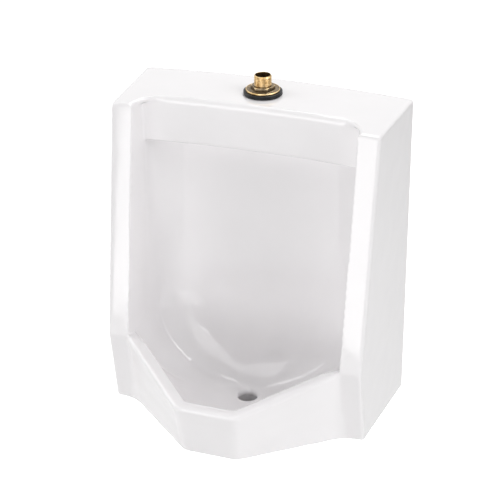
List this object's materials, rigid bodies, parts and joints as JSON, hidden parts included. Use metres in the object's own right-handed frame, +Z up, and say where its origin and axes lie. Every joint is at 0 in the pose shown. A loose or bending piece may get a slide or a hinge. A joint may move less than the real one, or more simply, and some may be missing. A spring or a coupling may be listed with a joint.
{
  "type": "wall-hung washdown urinal",
  "caption": "Wall-hung washdown urinal in white vitreous china with side posts, a lintel, a pointed bowl, a built-in trap and a brass top spud.",
  "frame": {"origin": "centre of the drain outlet, on the wall plane", "axes": "+Y points into the wall that the back lies on, +X points to the right of someone facing the urinal, +Z points up"},
  "size_m": [0.474, 0.3635, 0.6904],
  "materials": {
    "vitreous_china": "glossy white glaze",
    "spud_brass": "rough cast and turned brass",
    "fittings_brass": "plain brass",
    "black_rubber": "matt",
    "hanger_steel": "zinc plated"
  },
  "bodies": {
    "root": {"china_body": "vitreous_china", "spud_tube": "spud_brass", "spud_gasket": "black_rubber", "spud_washer": "spud_brass", "spud_locknut": "spud_brass", "outlet_flange": "fittings_brass", "outlet_gasket": "black_rubber", "outlet_bolts": "fittings_brass", "outlet_washers": "fittings_brass", "outlet_nuts": "fittings_brass", "wall_hanger_left": "hanger_steel", "wall_hanger_right": "hanger_steel"}
  },
  "joints": []
}
